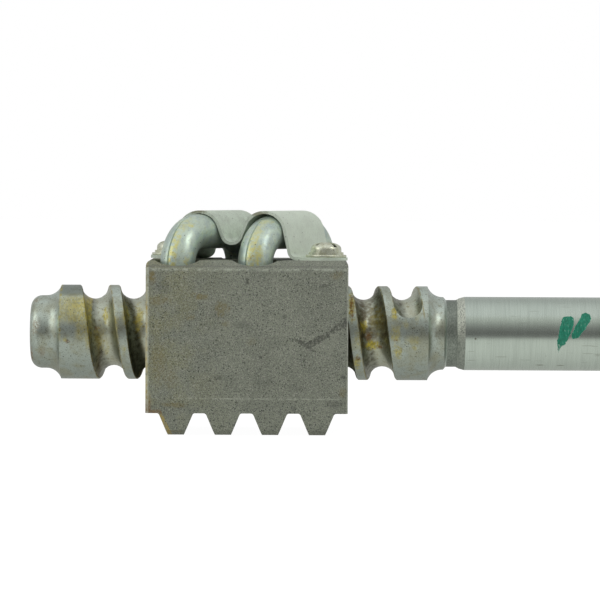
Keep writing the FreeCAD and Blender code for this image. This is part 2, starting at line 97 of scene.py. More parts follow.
# Node trees of the finishes
class Finish:
    """One material's node tree, built in millimetres of Object space."""

    def __init__(self, name):
        self.material = bpy.data.materials.new(name)
        self.material.use_nodes = True
        self.tree = self.material.node_tree
        self.shader = self.tree.nodes["Principled BSDF"]
        coords = self.tree.nodes.new("ShaderNodeTexCoord")
        self.place = self.vector("MULTIPLY", coords.outputs["Object"], (1000, 1000, 1000))
        self.x, self.y, self.z = self.split(self.place)

    def plug(self, socket, value):
        """Links a socket to a socket, or sets it to a number or colour."""
        if isinstance(value, bpy.types.NodeSocket):
            self.tree.links.new(value, socket)
        elif socket.type == "RGBA" and len(value) == 3:
            socket.default_value = (*value, 1)
        else:
            socket.default_value = value

    def vector(self, operation, a, b=None):
        node = self.tree.nodes.new("ShaderNodeVectorMath")
        node.operation = operation
        self.plug(node.inputs[0], a)
        if b is not None:
            self.plug(node.inputs[1], b)
        return node.outputs["Value" if operation == "LENGTH" else "Vector"]

    def split(self, v):
        node = self.tree.nodes.new("ShaderNodeSeparateXYZ")
        self.plug(node.inputs[0], v)
        return node.outputs

    def math(self, operation, a, b=None, clamp=False):
        node = self.tree.nodes.new("ShaderNodeMath")
        node.operation = operation
        node.use_clamp = clamp
        for socket, value in zip(node.inputs, (a, b)):
            if value is not None:
                self.plug(socket, value)
        return node.outputs[0]

    def add(self, *values):
        total = values[0]
        for value in values[1:]:
            total = self.math("ADD", total, value)
        return total

    def times(self, *values):
        total = values[0]
        for value in values[1:]:
            total = self.math("MULTIPLY", total, value)
        return total

    def most(self, *values):
        total = values[0]
        for value in values[1:]:
            total = self.math("MAXIMUM", total, value)
        return total

    def step(self, value, low, high, to_low=0.0, to_high=1.0):
        """Smooth step of value from low to high."""
        node = self.tree.nodes.new("ShaderNodeMapRange")
        node.interpolation_type = "SMOOTHSTEP"
        for socket, v in zip(node.inputs, (value, low, high, to_low, to_high)):
            self.plug(socket, v)
        return node.outputs[0]

    def between(self, value, low, high, soft):
        """1 between low and high, with soft edges."""
        rise = self.step(value, low - soft, low + soft)
        return self.times(rise, self.step(value, high - soft, high + soft, 1.0, 0.0))

    def shifted(self, shift):
        """The place moved by shift, so that two patterns of one size differ."""
        return self.vector("ADD", self.place, (shift, shift * 0.7, shift * 1.3))

    def noise(self, size, detail=3.0, roughness=0.55, stretch=(1, 1, 1), shift=0.0):
        """Noise whose largest features are about size millimetres, drawn out by stretch."""
        node = self.tree.nodes.new("ShaderNodeTexNoise")
        self.plug(node.inputs["Vector"], self.vector("DIVIDE", self.shifted(shift), stretch))
        node.inputs["Scale"].default_value = 1.0 / size
        node.inputs["Detail"].default_value = detail
        node.inputs["Roughness"].default_value = roughness
        return node.outputs["Fac"]

    def cells(self, size, shift=0.0):
        """Distance to scattered points about size millimetres apart, from 0 at a point."""
        node = self.tree.nodes.new("ShaderNodeTexVoronoi")
        self.plug(node.inputs["Vector"], self.shifted(shift))
        node.inputs["Scale"].default_value = 1.0 / size
        return node.outputs["Distance"]

    def dots(self, size, shift, inner, outer):
        """Dark-dot mask: 1 inside the inner share of a cell, 0 past the outer share."""
        return self.step(self.cells(size, shift), outer, inner)

    def mix(self, fac, a, b):
        """Colour a turned to b by fac."""
        node = self.tree.nodes.new("ShaderNodeMix")
        node.data_type = "RGBA"
        self.plug(node.inputs[0], fac)
        self.plug(node.inputs[6], a)
        self.plug(node.inputs[7], b)
        return node.outputs[2]

    def lerp(self, fac, a, b):
        """Number a turned to b by fac."""
        node = self.tree.nodes.new("ShaderNodeMix")
        node.data_type = "FLOAT"
        self.plug(node.inputs[0], fac)
        self.plug(node.inputs[2], a)
        self.plug(node.inputs[3], b)
        return node.outputs[0]

    def blots(self, spots, ragged=0.35, size=1.2):
        """The strongest of many ragged spots of (x, y, z, radius x, radius z, strength)."""
        edge = self.times(self.add(self.noise(size, 3, 0.6, shift=3.1), -0.5), ragged * 4)
        total = None
        for px, py, pz, rx, rz, strength in spots:
            radii = (rx, max(rx, rz) * 1.4, rz)
            off = self.vector("DIVIDE", self.vector("SUBTRACT", self.place, (px, py, pz)), radii)
            away = self.add(self.vector("LENGTH", off), edge)
            one = self.times(self.step(away, 0.3, 1.15, 1.0, 0.0), strength)
            total = one if total is None else self.most(total, one)
        return total

    def brush(self, a, b, width, end, wobble=0.5, shift=0.0):
        """Brush stroke from a to b in the XZ plane of the near side, from width to end wide."""
        ax, az = a
        bx, bz = b
        dx, dz = bx - ax, bz - az
        length2 = dx * dx + dz * dz
        px, pz = self.add(self.x, -ax), self.add(self.z, -az)
        along = self.math("DIVIDE", self.add(self.times(px, dx), self.times(pz, dz)), length2, clamp=True)
        ox = self.math("SUBTRACT", px, self.times(along, dx))
        oz = self.math("SUBTRACT", pz, self.times(along, dz))
        far = self.math("SQRT", self.add(self.times(ox, ox), self.times(oz, oz)))
        ragged = self.times(self.add(self.noise(0.9, 4, 0.6, shift=shift), -0.5), wobble * 2)
        wide = self.lerp(self.times(along, along), width, end)
        near = self.step(self.math("SUBTRACT", self.add(far, ragged), wide), -0.06, 0.06, 1.0, 0.0)
        return self.times(near, self.step(self.y, -1.0, -2.0))

    def bump(self, height, strength, distance=0.05, normal=None):
        """Normal that follows a height, distance millimetres deep."""
        node = self.tree.nodes.new("ShaderNodeBump")
        node.inputs["Strength"].default_value = strength
        node.inputs["Distance"].default_value = distance * MM
        self.plug(node.inputs["Height"], height)
        if normal is not None:
            self.plug(node.inputs["Normal"], normal)
        return node.outputs[0]

    def finish(self, colour, roughness, normal, metallic=1.0, **values):
        """Plugs the shader's sockets and returns the material."""
        self.plug(self.shader.inputs["Base Color"], colour)
        self.plug(self.shader.inputs["Roughness"], roughness)
        self.plug(self.shader.inputs["Metallic"], metallic)
        self.plug(self.shader.inputs["Normal"], normal)
        for name, value in values.items():
            self.shader.inputs[name.replace("_", " ")].default_value = value
        return self.material


def srgb(r, g, b):
    """Linear colour from 0 to 255 display values."""
    def one(v):
        v = v / 255
        return v / 12.92 if v <= 0.04045 else ((v + 0.055) / 1.055) ** 2.4
    return (one(r), one(g), one(b))


def dark(colour, share):
    """A colour times a share."""
    return tuple(min(1.0, c * share) for c in colour)


# Helpers
def deselect():
    """Leaves nothing selected, so that an operator acts only on what it is given."""
    if bpy.context.object and bpy.context.object.mode != "OBJECT":
        bpy.ops.object.mode_set(mode="OBJECT")
    bpy.ops.object.select_all(action="DESELECT")


def dress(names, material):
    """Gives CAD nodes a material in every slot."""
    for name in names:
        node = NODES[name]
        if not node.material_slots:
            node.data.materials.append(material)
        for slot in node.material_slots:
            slot.material = material


def named(start):
    """CAD nodes whose names start with a word, or with one of several words."""
    return [name for name in NODES if name.startswith(start)]


# Settings
class ShaftLook(bpy.types.PropertyGroup):
    """Colours and sizes that a user would change."""

    steel: FloatVectorProperty(
        name="Shaft steel", description="Colour of the ground and turned shaft",
        default=srgb(202, 214, 204), subtype="COLOR", min=0, max=1)
    oil: FloatVectorProperty(
        name="Oil", description="Colour of the dried oil on the worm",
        default=srgb(192, 176, 44), subtype="COLOR", min=0, max=1)
    rust: FloatVectorProperty(
        name="Rust", description="Colour of the light rust",
        default=srgb(118, 84, 34), subtype="COLOR", min=0, max=1)
    paint: FloatVectorProperty(
        name="Paint marks", description="Colour of the two paint strokes on the shaft",
        default=srgb(8, 116, 90), subtype="COLOR", min=0, max=1)
    phosphate: FloatVectorProperty(
        name="Nut coating", description="Colour of the phosphate coat on the ball nut",
        default=srgb(128, 133, 117), subtype="COLOR", min=0, max=1)
    zinc: FloatVectorProperty(
        name="Tube zinc", description="Colour of the zinc on the return tubes",
        default=srgb(204, 220, 204), subtype="COLOR", min=0, max=1)
    strap: FloatVectorProperty(
        name="Strap zinc", description="Colour of the dull zinc on the strap",
        default=srgb(212, 224, 208), subtype="COLOR", min=0, max=1)
    thread_pitch: FloatProperty(
        name="Thread pitch", description="Pitch of the wheel-end thread",
        default=0.0015, unit="LENGTH", min=0.0005, max=0.003)
    lens: FloatProperty(
        name="Lens", description="Focal length of the camera",
        default=220.6, unit="CAMERA", min=50, max=400)
    distance: FloatProperty(
        name="Camera distance", description="Distance from the camera to the shaft axis",
        default=1.0, unit="LENGTH", min=0.3, max=3)


# Pieces and their finishes
class SHAFT_OT_worm(bpy.types.Operator):
    """Finish the worm shaft: ground journals, oiled track, dark relief, paint strokes"""
    bl_idname = "steering.worm"
    bl_label = "Worm shaft finish"

    def execute(self, context):
        look = context.scene.steering_shaft
        dress(["worm_shaft"], worm_finish(look))
        return {"FINISHED"}


class WormPlaces:
    """Masks of the worm shaft's parts, for its finish: 1 on the part and 0 off it."""

    def __init__(self, m):
        start, end = RELIEF_X
        self.radius = m.math("SQRT", m.add(m.times(m.y, m.y), m.times(m.z, m.z)))
        self.near = m.step(m.y, 2.0, -1.0)
        self.worm = m.step(m.x, WORM_END_X - 0.2, WORM_END_X + 0.2, 1.0, 0.0)
        self.relief = m.between(m.x, start, end, 0.08)
        self.flare = m.between(m.x, 115.6, end + 0.05, 0.15)

        # Turn of the nearest groove and the distance from its centre along the shaft.
        self.turn = m.math("DIVIDE", m.math("ARCTAN2", m.times(m.y, -1.0), m.z), 2 * math.pi)
        along = m.math("DIVIDE", m.add(m.x, -TRACK_TOP_X), LEAD)
        phase = m.math("SUBTRACT", along, self.turn)
        nearest = m.math("ROUND", phase)
        off = m.times(m.math("SUBTRACT", phase, nearest), LEAD)
        away = m.math("ABSOLUTE", off)
        at_turn = m.add(self.turn, nearest)
        first, last = TRACK_TURNS
        cut_here = m.between(at_turn, first, last, 0.01)
        sunk = m.step(self.radius, WORM_R - 0.06, WORM_R - 0.2)
        crest = m.step(self.radius, WORM_R - 0.5, WORM_R - 0.3)
        self.groove = m.times(sunk, m.between(away, -1.0, 3.9, 0.1), cut_here)
        self.lip = m.times(m.between(away, 3.62, 4.05, 0.14), cut_here, crest)
        # Groove wall on the lower-x side, which faces away from the light: mask of its painted shade.
        self.shaded_wall = m.times(m.step(off, 0.2, -1.6), self.groove)


def worm_finish(look):
    """Bright steel with turning marks, oil, pits and paint by place along the shaft."""
    m = Finish("worm_steel")
    on = WormPlaces(m)
    lines = m.noise(0.16, 2, 0.6, stretch=(1, 60, 60))
    cloud = m.noise(4.5, 4, 0.6, shift=13)
    grain = m.noise(0.30, 3, 0.6, shift=5)
    patchy = m.noise(1.3, 4, 0.65, shift=55)

    colour = m.mix(on.worm, ground_steel(m, look, lines), worm_steel(m, look, cloud, grain, patchy))
    colour, lip_rust = groove_rust_and_shading(m, on, colour, cloud, patchy)
    colour, stain = oil_stains(m, look, on, colour, patchy)
    rust = worm_rust(m)
    colour = m.mix(m.times(rust, m.step(m.noise(0.5, 3, 0.6, shift=31), 0.32, 0.55)), colour, look.rust)
    colour = worm_pits(m, on, colour)
    colour = m.mix(on.relief, colour, relief_grey(m, on))
    colour = shaft_marks(m, colour)
    colour, paint = paint_strokes(m, look, colour)

    polish = m.lerp(on.worm, m.add(0.17, m.times(lines, 0.16)), m.add(0.26, m.times(grain, 0.22)))
    for mask, value in (
        (on.relief, 0.50), (m.times(stain, 0.7), 0.34), (m.most(rust, lip_rust), 0.55), (paint, 0.45),
    ):
        polish = m.lerp(mask, polish, value)
    bare = m.most(paint, m.times(stain, 0.35), m.times(rust, 0.6))
    metal = m.math("SUBTRACT", 1.0, bare, clamp=True)

    rough = m.times(on.relief, m.noise(0.24, 3, 0.6, stretch=(1, 2, 2), shift=2), 0.6)
    on_worm = m.times(on.worm, m.add(m.times(grain, 0.30), m.times(patchy, 0.35)))
    normal = m.bump(m.add(rough, on_worm, m.times(paint, 0.3)), 0.5, 0.09, m.bump(lines, 0.10, 0.02))
    pitch = look.thread_pitch / MM
    wave = m.math("PINGPONG", m.math("SUBTRACT", m.math("DIVIDE", m.x, pitch), on.turn), 0.5)
    thread = m.times(wave, 2.0, m.between(m.x, *THREAD_X, 0.1))
    return m.finish(colour, polish, m.bump(thread, 1.0, 0.9, normal), metal)


def ground_steel(m, look, lines):
    """Ground shaft: bright, with fine rings round it."""
    broad = m.noise(2.2, 3, 0.6, stretch=(1, 9, 9), shift=7)
    steel = m.mix(m.times(m.step(broad, 0.35, 0.7), 0.30), look.steel, dark(look.steel, 0.80))
    return m.mix(m.times(m.step(lines, 0.45, 0.62), 0.26), steel, dark(look.steel, 0.60))


def worm_steel(m, look, cloud, grain, patchy):
    """Worm and journals: duller, with painted shade towards the underside."""
    # Darker from z 5 mm down to z -9 mm: painted shade on the underside.
    worm = m.mix(m.step(m.z, -9.0, 5.0), dark(look.steel, 0.66), dark(look.steel, 1.02))
    worm = m.mix(m.times(m.step(cloud, 0.42, 0.66), 0.5), worm, srgb(156, 154, 124))
    worm = m.mix(m.times(m.step(grain, 0.54, 0.64), 0.45), worm, srgb(88, 92, 80))
    return m.mix(m.times(m.step(patchy, 0.56, 0.70), 0.40), worm, srgb(120, 112, 72))


def groove_rust_and_shading(m, on, colour, cloud, patchy):
    """Grooves painted pale as a painted highlight, rust on their lips, painted shade on the wall facing
    away from the light, painted shadow of the nut beside it tinted brown, and darker grey along the top
    of the first land.
    """
    # Grooves painted pale: a painted highlight, kept on the wall that faces the light.
    colour = m.mix(m.times(on.groove, 0.45), colour, srgb(206, 206, 180))
    colour = m.mix(m.times(on.groove, m.step(patchy, 0.54, 0.66), 0.45), colour, srgb(134, 120, 70))
    lip_rust = m.times(on.lip, m.step(m.noise(1.7, 3, 0.6, shift=61), 0.40, 0.56))
    colour = m.mix(m.times(lip_rust, 0.55), colour, srgb(172, 156, 88))
    # Painted shade on the groove wall facing away from the light, mottled by noise.
    wall_shade = m.times(on.shaded_wall, m.add(0.45, m.times(m.step(patchy, 0.4, 0.6), 0.3)))
    colour = m.mix(wall_shade, colour, srgb(74, 74, 64))
    # Painted shadow of the nut on the grooves just right of it, stronger on their upper side and tinted
    # brown.
    nut_shadow = m.times(m.between(m.x, 86.0, 97.5, 1.0), on.groove, m.step(m.z, -6.0, 0.0))
    colour = m.mix(m.times(nut_shadow, m.step(patchy, 0.36, 0.54), 0.55), colour, srgb(104, 92, 66))
    # Darker grey along the top of the first land.
    top_band = m.times(m.between(m.x, 7.6, 18.0, 0.5), m.step(m.z, 9.6, 10.6))
    top_band = m.times(top_band, m.step(on.radius, WORM_R - 0.6, WORM_R - 0.3))
    return m.mix(m.times(top_band, 0.6), colour, srgb(104, 112, 104)), lip_rust


def oil_stains(m, look, on, colour, patchy):
    """Dried oil: a band round the first land, its edges, and spots along the worm."""
    hatch = m.noise(0.42, 4, 0.7, stretch=(0.7, 2.4, 2.4), shift=87)
    band = m.times(m.between(m.x, 8.4, 16.8, 0.25), m.between(m.z, 3.0, 9.9, 1.2), on.near)
    low_edge = m.times(m.between(m.x, 12.8, 17.0, 0.9), m.between(m.z, -1.2, 4.0, 1.2), on.near)
    cover = m.add(0.50, m.times(m.step(m.x, 9.0, 15.5), 0.30))
    band = m.times(m.most(band, m.times(low_edge, 0.75)), m.step(hatch, 0.26, 0.56), cover)
    ring_edge = m.times(m.between(m.x, 7.9, 8.75, 0.16), m.step(patchy, 0.36, 0.56))
    ring_edge = m.times(ring_edge, m.step(m.z, -3.0, 1.0))
    spots = m.blots([
        (15.9, -11.9, 0.0, 1.0, 4.2, 0.62), (9.9, -12.5, -1.5, 0.75, 0.75, 0.55),
        # Spots at x 20.4 and 29.6 on the upper groove walls are oil colour and partly a painted
        # highlight.
        (20.4, -9.0, 4.9, 1.1, 2.8, 0.95), (18.2, -9.5, 0.6, 1.0, 0.8, 0.5),
        (20.9, -8.7, -5.0, 0.9, 1.6, 0.6), (19.2, -9.0, -1.0, 2.4, 4.8, 0.35),
        (26.0, -9.6, 5.4, 1.3, 3.8, 0.7), (29.6, -9.0, 4.2, 1.5, 5.2, 0.85),
        (23.6, -11.6, 2.0, 0.8, 6.0, 0.4), (25.6, -12.4, -4.4, 0.9, 1.5, 0.5),
        (86.9, -9.6, 7.4, 1.2, 5.2, 0.95), (90.3, -9.8, 2.4, 1.3, 1.9, 0.95),
        (88.6, -9.5, -1.0, 1.4, 4.0, 0.5), (93.0, -9.2, -2.9, 2.6, 1.6, 0.95),
        (88.4, -9.5, -7.4, 1.3, 2.6, 0.7), (94.0, -9.2, 4.0, 2.6, 5.0, 0.45),
        (98.6, -11.2, 6.0, 1.1, 2.2, 0.9), (98.9, -12.6, 0.2, 1.5, 3.6, 0.72),
        (99.6, -11.9, -4.6, 1.4, 1.8, 0.75), (103.5, -12.6, -1.4, 2.6, 1.6, 0.35),
        (20.0, 9.0, 4.0, 2.2, 4.0, 0.7), (94.0, 9.0, 3.0, 2.4, 3.5, 0.7),
        (100.0, 9.5, -5.0, 2.0, 2.5, 0.6), (12.0, 11.0, 4.0, 3.0, 3.0, 0.6),
        (104.6, -11.0, 5.6, 1.2, 2.6, 0.35), (103.9, -12.5, -3.4, 1.0, 1.0, 0.5),
        (101.6, -12.0, 2.6, 0.8, 1.6, 0.45),
    ], ragged=0.46, size=1.3)
    spots = m.times(spots, m.add(0.35, m.times(m.step(hatch, 0.30, 0.60), 0.75)))
    stain = m.math("MINIMUM", m.most(m.times(spots, 0.95), band, m.times(ring_edge, 0.6)), 1.0)
    deep = m.step(m.noise(0.9, 3, 0.6, shift=91), 0.42, 0.62)
    return m.mix(m.times(stain, 0.9), colour, m.mix(deep, look.oil, dark(look.oil, 0.55))), stain


def worm_rust(m):
    """Rust spots on the grooves, the lands and the end of the lower journal."""
    return m.blots([
        (87.0, -9.3, 6.8, 0.8, 4.4, 0.9), (91.6, -9.2, -0.6, 1.2, 1.5, 0.85),
        (94.6, -9.3, -3.4, 1.4, 0.7, 0.8), (88.9, -11.0, -6.4, 0.9, 0.7, 0.8),
        (97.9, -10.8, 4.9, 0.5, 0.5, 0.9), (98.6, -12.4, -1.4, 0.9, 0.35, 0.8),
        (20.8, -9.0, -5.2, 0.9, 0.9, 0.8), (18.4, -9.2, 1.4, 0.8, 0.5, 0.7),
        (10.6, -12.4, -2.1, 0.8, 0.7, 0.6), (1.5, -9.0, 0.4, 0.9, 1.2, 0.5),
        (0.6, -6.0, -6.0, 0.35, 2.6, 0.8), (1.9, -8.5, 2.2, 1.3, 2.2, 0.55),
        (1.4, -4.0, 8.8, 1.6, 1.2, 0.55), (3.4, -8.5, -5.0, 1.4, 2.0, 0.3),
        (16.2, -10.5, 6.4, 0.8, 2.4, 0.5), (11.5, -12.3, -3.8, 0.4, 0.3, 0.5),
    ], ragged=0.5, size=0.8)


def worm_pits(m, on, colour):
    """Scattered pits, and finer ones crowded on the lands and the journal."""
    here = m.times(m.step(m.noise(2.6, 3, 0.6, shift=41), 0.48, 0.58), on.worm, 0.85)
    colour = m.mix(m.times(m.dots(0.95, 17, 0.10, 0.20), here), colour, srgb(46, 44, 34))
    crowded = m.blots([
        (101.8, -12.4, 4.9, 3.6, 1.0, 1.0), (104.4, -12.6, 1.2, 2.6, 1.8, 0.9),
        (101.6, -12.6, -2.8, 2.6, 1.4, 0.95), (104.6, -12.0, -5.4, 2.0, 2.2, 0.7),
        (102.8, -10.6, -9.6, 3.6, 1.2, 0.6), (4.0, -8.8, -1.0, 3.4, 3.6, 0.75),
        (24.4, -12.2, -4.0, 1.4, 1.6, 0.8), (12.6, -12.4, -5.0, 3.0, 2.0, 0.4),
        (102.0, 12.0, 2.0, 4.0, 3.0, 0.8),
    ], ragged=0.4, size=1.4)
    fine = m.most(m.dots(0.62, 7, 0.16, 0.28), m.dots(0.45, 71, 0.12, 0.24))
    return m.mix(m.times(fine, crowded, 0.85), colour, srgb(44, 46, 36))


def relief_grey(m, on):
    """Rough grey of the turned relief, with painted glints on the upper part of the flare beside the
    shaft.
    """
    grain = m.noise(0.26, 3, 0.6, stretch=(1, 2.2, 2.2), shift=3)
    grey = m.mix(m.step(grain, 0.34, 0.68), srgb(124, 132, 124), srgb(160, 168, 158))
    glint = m.step(m.noise(0.26, 2, 0.6, shift=9), 0.36, 0.54)
    return m.mix(m.times(on.flare, glint, m.step(m.z, -3.0, 2.0, 0.15, 0.95)), grey, srgb(226, 231, 218))


def shaft_marks(m, colour):
    """Short dull scratches and small dark marks on the ground shaft."""
    scratches = m.step(m.noise(1.1, 2, 0.4, stretch=(6, 1, 0.35), shift=77), 0.68, 0.74)
    colour = m.mix(m.times(scratches, m.step(m.x, 118, 119), 0.3), colour, srgb(110, 106, 90))
    marks = m.blots([
        (120.4, -10, -1.0, 0.35, 0.35, 0.9), (137.9, -6, -8.2, 1.4, 0.22, 0.55),
        (143.6, -6, -8.3, 1.2, 0.22, 0.5), (139.5, -8, -5.6, 0.3, 0.2, 0.5),
        (153.4, -9, -5.3, 1.2, 0.6, 0.3), (205.0, -9, 3.0, 1.5, 0.4, 0.4),
        (262.0, -8, -5.0, 2.2, 0.3, 0.4), (318.0, -9, 2.0, 1.2, 0.5, 0.4),
    ], ragged=0.3, size=0.6)
    return m.mix(m.times(marks, 0.8), colour, srgb(84, 74, 52))


def paint_strokes(m, look, colour):
    """Two leaning green strokes, thin in streaks, the left one with a run below it."""
    streaks = m.noise(0.55, 3, 0.6, stretch=(0.45, 1, 2.6), shift=70)
    run = m.brush((143.4, -1.6), (142.9, -3.4), 0.95, 0.22, 0.6, 63)
    paint = m.most(
        m.brush((145.3, 3.5), (143.7, -1.5), 1.66, 1.24, 0.42, 51),
        m.brush((145.8, 4.1), (144.8, 4.0), 1.10, 1.10, 0.30, 54),
        m.brush((150.2, 4.7), (147.4, 0.3), 1.38, 1.12, 0.42, 57),
        m.brush((147.2, 0.2), (146.8, -0.4), 0.95, 0.50, 0.40, 59),
        m.times(run, m.step(streaks, 0.38, 0.48)),
        m.times(m.brush((142.9, -3.3), (142.8, -4.6), 0.24, 0.10, 0.8, 66), 0.7))
    cover = m.math("SUBTRACT", 1.0, m.times(m.step(streaks, 0.60, 0.74), 0.45))
    tint = m.mix(m.step(streaks, 0.36, 0.62), dark(look.paint, 0.72), dark(look.paint, 1.15))
    return m.mix(m.times(paint, cover), colour, tint), paint


class SHAFT_OT_nut(bpy.types.Operator):
    """Finish the ball nut: speckled phosphate coat with rust at its edges"""
    bl_idname = "steering.nut"
    bl_label = "Ball nut finish"

    def execute(self, context):
        look = context.scene.steering_shaft
        dress(["ball_nut"], nut_finish(look))
        return {"FINISHED"}


def nut_finish(look):
    """Sandy grey-green coat, painted highlights on the edges, rust by the lower-end face, smudges."""
    m = Finish("nut_phosphate")
    speck = m.noise(0.36, 2, 0.65)
    fine = m.noise(0.24, 2, 0.6, shift=9)
    dirt = m.noise(0.28, 1, 0.5, shift=19)
    wear_and_glint = m.noise(1.2, 4, 0.65, shift=44)
    colour = nut_coat(m, look, speck, fine, dirt)
    colour = nut_rust(m, look, colour)
    colour = nut_smudges(m, colour)
    colour = nut_edges(m, colour, wear_and_glint)
    grain = m.add(m.times(speck, 0.6), m.times(fine, 0.5), m.times(wear_and_glint, 0.2), m.times(dirt, -0.5))
    rough = m.add(0.46, m.times(fine, 0.28))
    return m.finish(colour, rough, m.bump(grain, 0.6, 0.07), 0.25, IOR=1.6)


def nut_coat(m, look, speck, fine, dirt):
    """Clouded coat, more olive towards the lower end, with specks, dirt and dark dots."""
    cloud = m.noise(7.0, 4, 0.6, shift=4)
    coat = m.mix(m.times(m.step(cloud, 0.36, 0.66), 0.8), look.phosphate, dark(look.phosphate, 0.80))
    olive = m.times(m.step(m.x, 58.0, 33.0), m.step(m.noise(8.0, 3, 0.6, shift=48), 0.34, 0.62))
    coat = m.mix(m.times(olive, 0.7), coat, srgb(126, 126, 88))
    coat = m.mix(m.times(m.step(speck, 0.50, 0.62), 0.55), coat, srgb(84, 88, 84))
    coat = m.mix(m.times(m.step(dirt, 0.57, 0.66), 0.85), coat, srgb(50, 55, 54))
    coat = m.mix(m.times(m.step(fine, 0.46, 0.36), 0.60), coat, srgb(166, 168, 156))
    dots = m.most(m.dots(1.15, 5, 0.13, 0.24), m.dots(0.9, 25, 0.10, 0.20))
    dots = m.times(dots, m.step(m.noise(5, 2, 0.5, shift=15), 0.30, 0.55, 0.35, 1.0))
    return m.mix(m.times(dots, 0.72), coat, srgb(46, 50, 42))


def nut_rust(m, look, colour):
    """Brown blots, and rust on the lower end face's edge and on the first tooth's flank."""
    warm = m.blots([
        (46.6, -22, 10.2, 1.9, 1.0, 0.95), (44.6, -22, 10.9, 1.0, 0.8, 0.6),
        (52.2, -22, 7.4, 2.6, 2.4, 0.55), (44.2, -22, 5.0, 1.4, 1.0, 0.4),
        (53.0, -22, 3.4, 1.6, 1.0, 0.35), (35.2, -22, 9.2, 3.4, 1.4, 0.55),
        (33.6, -21, 15.6, 1.3, 2.2, 0.9), (35.6, -22, -7.5, 2.2, 6.0, 0.40),
        (38.4, -22, -11.4, 2.4, 3.0, 0.35), (39.4, -22, -18.4, 4.2, 0.8, 0.55),
        (46.0, -22, -25.2, 1.6, 0.5, 0.4), (39.6, -22, -25.6, 2.2, 0.35, 0.6),
        (82.8, -22, 16.4, 2.4, 1.2, 0.45), (84.6, -22, -15.0, 1.2, 1.4, 0.45),
        (60.2, -22, -1.6, 1.6, 1.2, 0.25), (49.6, 22, 6.0, 4.0, 3.0, 0.5),
        (72.0, 22, -8.0, 5.0, 4.0, 0.4), (42.0, 22, -14.0, 4.0, 2.0, 0.5),
    ], ragged=0.5, size=1.8)
    warm = m.times(warm, m.step(m.noise(0.7, 3, 0.6, shift=81), 0.26, 0.56), 0.75)
    colour = m.mix(warm, colour, srgb(112, 98, 42))
    start = NUT_X[0]
    edge = m.times(m.step(m.x, start + 0.85, start + 0.3), m.step(m.z, 15, 8, 0.25, 1.0))
    edge = m.times(edge, m.step(m.noise(1.6, 3, 0.6, shift=23), 0.30, 0.50))
    corner = m.times(m.step(m.x, start + 2.0, start + 0.4), m.step(m.z, -14, -18.4))
    corner = m.times(corner, m.step(m.noise(1.2, 3, 0.6, shift=29), 0.30, 0.52))
    flank = m.add(m.x, m.times(m.z, FLANK_SLOPE), -FLANK_X)
    flank = m.times(m.step(flank, 0.34, 0.08), m.step(m.x, 41.0, 40.0), m.step(m.z, -19.4, -20.2))
    flank = m.times(flank, m.step(m.noise(1.0, 3, 0.6, shift=37), 0.30, 0.52))
    rust = m.most(edge, corner, m.times(flank, 0.7))
    pale = m.times(m.step(m.z, -14, -19), m.step(m.z, -21.3, -20.6))
    return m.mix(m.times(rust, 0.9), colour, m.mix(pale, srgb(168, 146, 60), look.rust))


def nut_smudges(m, colour):
    """A dark rubbed smudge across the near face and single marks."""
    smudge = m.most(
        m.brush((71.6, -1.0), (75.4, -2.4), 0.55, 0.75, 0.9, 33),
        m.brush((75.4, -2.4), (80.2, 0.3), 0.95, 0.75, 1.1, 35),
        m.brush((80.2, 0.4), (84.9, 3.6), 0.65, 1.15, 1.2, 37))
    smudge = m.times(smudge, m.step(m.noise(0.8, 3, 0.6, shift=36), 0.34, 0.56))
    marks = m.blots([
        (58.9, -22, 14.7, 0.45, 1.2, 0.95), (79.3, -22, 13.4, 1.2, 0.55, 0.6),
        (69.0, -22, 5.1, 0.9, 0.8, 0.6), (62.6, -22, -5.7, 0.9, 0.5, 0.9),
        (51.6, -22, -11.2, 1.5, 0.7, 0.65), (84.8, -22, -11.0, 1.0, 0.7, 0.9),
        (57.6, -22, 2.9, 2.6, 1.2, 0.45), (76.4, -22, -3.8, 1.4, 0.4, 0.6),
        (82.0, -22, -18.0, 2.4, 1.2, 0.4), (36.6, -22, 13.0, 2.6, 2.2, 0.40),
        (64.0, -22, -12.0, 3.0, 1.6, 0.30), (73.0, -22, -14.0, 3.0, 1.2, 0.30),
    ], ragged=0.5, size=1.0)
    return m.mix(m.times(m.most(smudge, marks), 0.68), colour, srgb(54, 55, 50))


def nut_edges(m, colour, wear_and_glint):
    """Painted highlights along the near face's edges in places, and painted shade on the floors of the
    spot faces.
    """
    start, end = NUT_X
    side = m.math("ABSOLUTE", m.y)
    front = m.step(side, NUT_HALF_Y - 0.8, NUT_HALF_Y - 0.5)
    ridge = m.times(m.between(m.z, 17.30, 17.90, 0.25), m.step(wear_and_glint, 0.40, 0.62), front)
    skirt = m.times(m.between(m.z, -16.95, -16.60, 0.12), m.step(wear_and_glint, 0.38, 0.6), 0.7)
    skirt = m.times(skirt, front, m.step(m.x, 38.0, 44.0))
    upright = m.most(
        m.between(m.x, start - 0.2, start + 0.85, 0.15), m.between(m.x, end - 0.35, end + 0.2, 0.12))
    upright = m.times(upright, m.step(side, NUT_HALF_Y - 1.1, NUT_HALF_Y - 0.8), m.step(wear_and_glint, 0.30, 0.55))
    # Painted highlights along the near face's top ridge, lower skirt line and upright edges.
    colour = m.mix(m.times(m.most(ridge, skirt, upright), 0.60), colour, srgb(178, 184, 168))
    # Painted shade on the floors of the spot faces.
    spot_floor_shade = m.between(m.z, 18.3, 18.7, 0.05)
    return m.mix(m.times(spot_floor_shade, 0.4), colour, srgb(88, 90, 84))


class SHAFT_OT_tubes(bpy.types.Operator):
    """Finish the return tubes: bright zinc with yellow patches and a dark seam"""
    bl_idname = "steering.tubes"
    bl_label = "Return tube finish"

    def execute(self, context):
        look = context.scene.steering_shaft
        dress(named("return_tube"), tube_finish(look))
        return {"FINISHED"}


